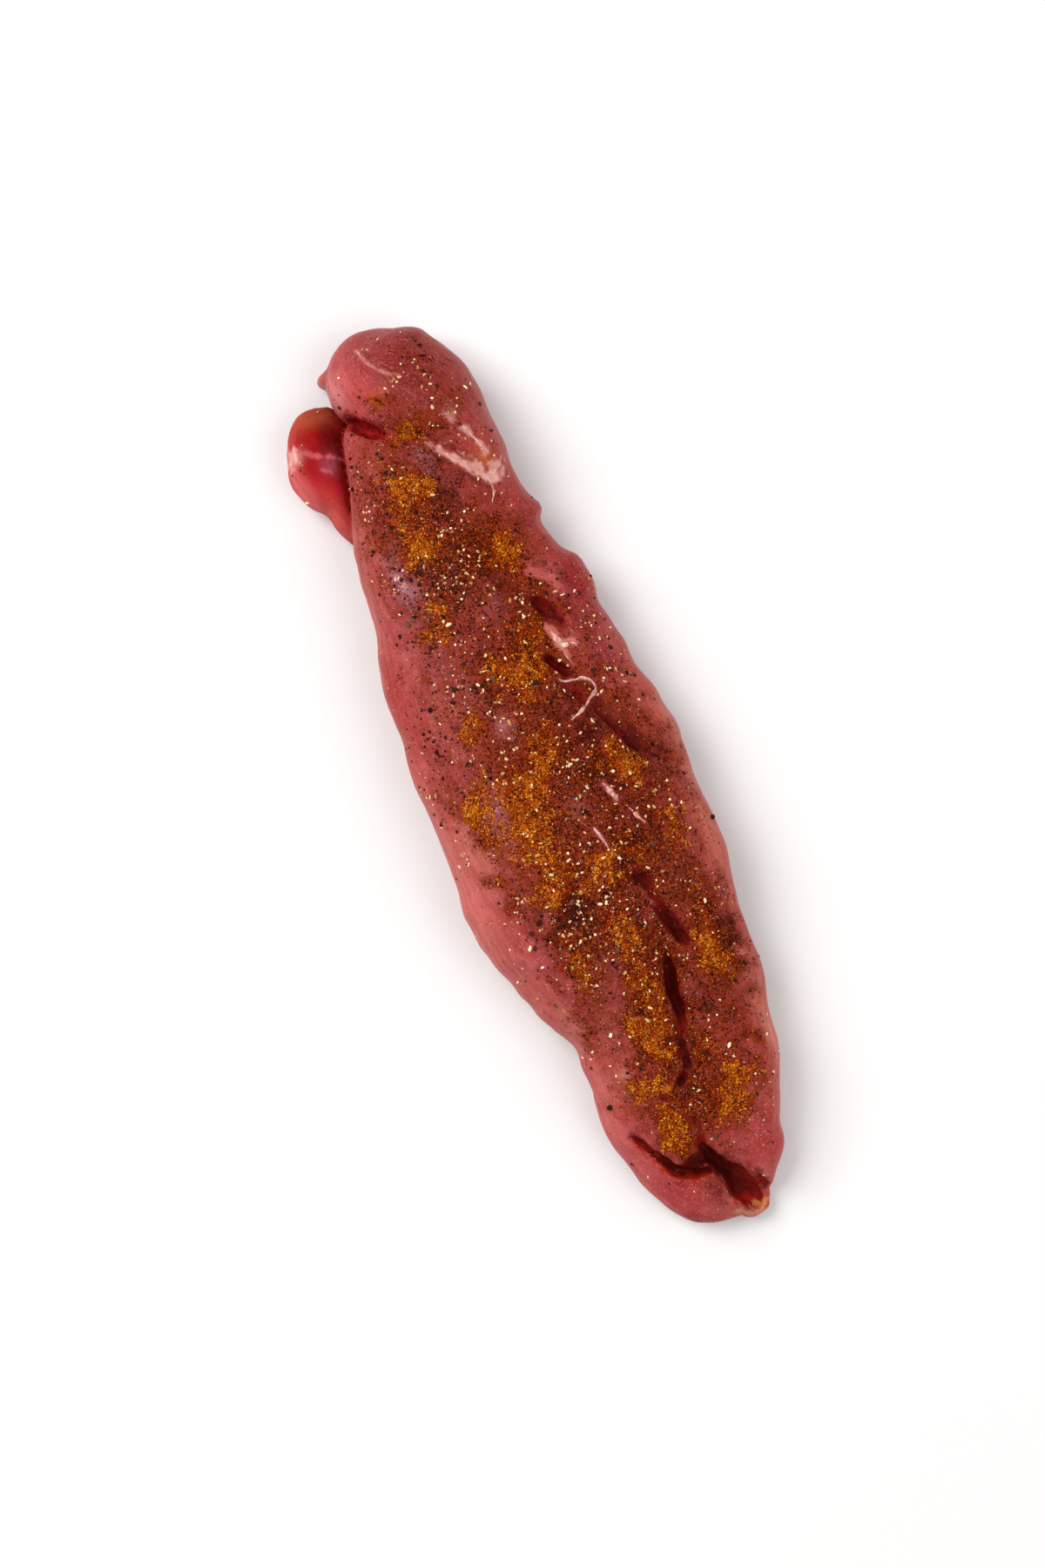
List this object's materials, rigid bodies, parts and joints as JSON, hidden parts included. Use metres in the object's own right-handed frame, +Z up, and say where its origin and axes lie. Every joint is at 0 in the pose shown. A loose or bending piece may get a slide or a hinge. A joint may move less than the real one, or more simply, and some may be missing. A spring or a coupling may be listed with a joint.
{
  "type": "raw pork tenderloin",
  "caption": "Raw pork tenderloin with a folded head, a side lobe and a split tail, rubbed with pepper, salt and ground spice, lying flat.",
  "frame": {"origin": "on the underside, below the middle of the outline", "axes": "+X along the length, from the thick folded head to the split tail, +Z up"},
  "size_m": [0.3098, 0.087, 0.0412],
  "materials": {
    "meat": "moist raw muscle with dry spice, satin"
  },
  "bodies": {
    "root": {"tenderloin": "meat"}
  },
  "joints": []
}
